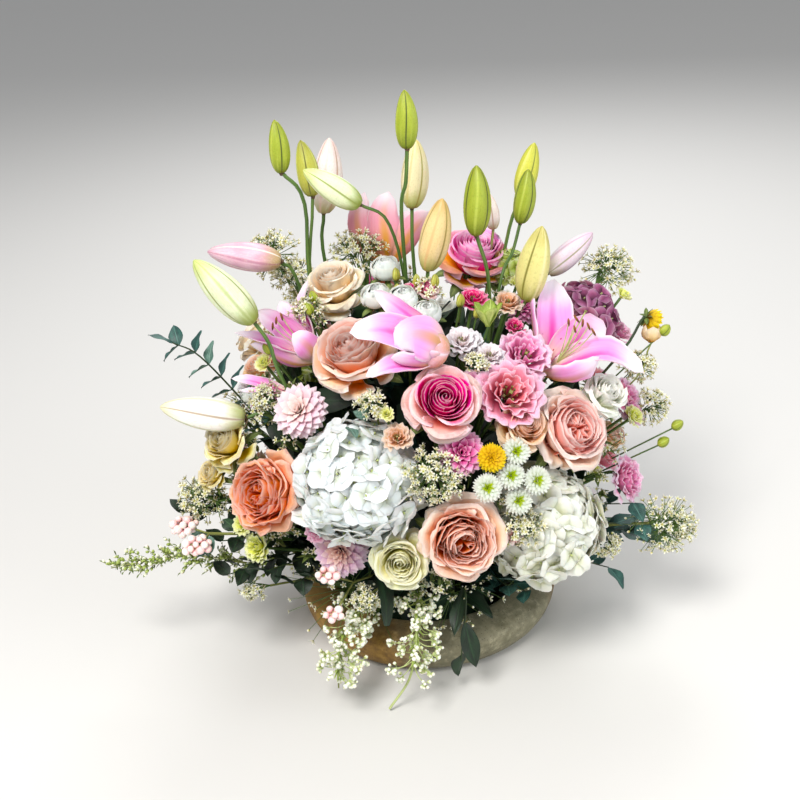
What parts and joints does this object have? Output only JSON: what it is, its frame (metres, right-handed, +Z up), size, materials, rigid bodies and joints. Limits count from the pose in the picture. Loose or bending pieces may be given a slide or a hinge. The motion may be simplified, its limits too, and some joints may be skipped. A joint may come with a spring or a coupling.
{
  "type": "floral table centerpiece",
  "caption": "Domed arrangement of roses, lilies, hydrangeas and small blooms in floral foam, in a low wide stoneware bowl, for a table.",
  "frame": {"origin": "centre of the bowl's flat base, on the table", "axes": "+Z up, -Y towards the front of the arrangement, +X to its right seen from the front"},
  "size_m": [0.6706, 0.4707, 0.65],
  "materials": {
    "stoneware": "matte speckled stoneware glaze",
    "foam": "soaked floral foam",
    "petal_pink": "soft matte petal",
    "petal_peach": "soft matte petal",
    "petal_cream": "soft matte petal",
    "petal_coral": "soft matte petal",
    "petal_white": "soft matte petal",
    "petal_mauve": "soft matte petal",
    "petal_lime": "soft matte petal",
    "petal_blush": "soft matte petal",
    "lily_pink": "satin petal",
    "lily_green": "satin bud skin",
    "lily_cream": "satin bud skin",
    "filler": "fine dry florets",
    "berry": "smooth waxy berry",
    "leaf": "waxy leaf"
  },
  "bodies": {
    "root": {"bowl": "stoneware", "button_mum_spray": "petal_white", "dahlia_blush": "petal_blush", "dahlia_lilac": "petal_blush", "dahlia_mauve": "petal_mauve", "eucalyptus_left": "leaf", "filler_back": "filler", "filler_centre": "filler", "filler_left_low": "filler", "filler_right_low": "filler", "filler_top_left": "filler", "filler_top_right": "filler", "floral_foam": "foam", "hydrangea_back_lime": "petal_lime", "hydrangea_back_white": "petal_white", "hydrangea_mauve": "petal_mauve", "hydrangea_white_left": "petal_white", "hydrangea_white_right": "petal_white", "leaf_back": "leaf", "leaf_right": "leaf", "lily_bud_far_right": "lily_cream", "lily_bud_front_centre": "lily_cream", "lily_bud_front_right": "lily_cream", "lily_bud_left_low": "lily_cream", "lily_bud_left_pink": "lily_cream", "lily_bud_left_white": "lily_cream", "lily_bud_rear_centre": "lily_cream", "lily_bud_rear_left": "lily_cream", "lily_bud_rear_right": "lily_green", "lily_half_open": "lily_pink", "lily_open_back": "lily_pink", "lily_open_left": "lily_pink", "lily_open_right": "lily_pink", "lily_stem_centre": "lily_green", "lily_stem_left": "lily_green", "lily_stem_right": "lily_green", "lisianthus_back": "petal_pink", "lisianthus_blush": "petal_blush", "lisianthus_pink_lower": "petal_pink", "lisianthus_pink_upper": "petal_pink", "lisianthus_right_high": "petal_blush", "lisianthus_right_low": "petal_pink", "lisianthus_white_spray": "petal_white", "rose_apricot": "petal_peach", "rose_back_cream": "petal_cream", "rose_back_peach": "petal_peach", "rose_back_pink": "petal_pink", "rose_blush": "petal_peach", "rose_coral": "petal_coral", "rose_cream": "petal_cream", "rose_hot_pink": "petal_pink", "rose_pale_lime": "petal_cream", "rose_peach_open": "petal_peach", "rose_small_peach": "petal_peach", "rose_two_tone": "petal_pink", "ruscus_front": "leaf", "snowberry_left": "berry", "trailing_front_left": "filler", "trailing_front_right": "filler", "trailing_left": "filler"}
  },
  "joints": []
}
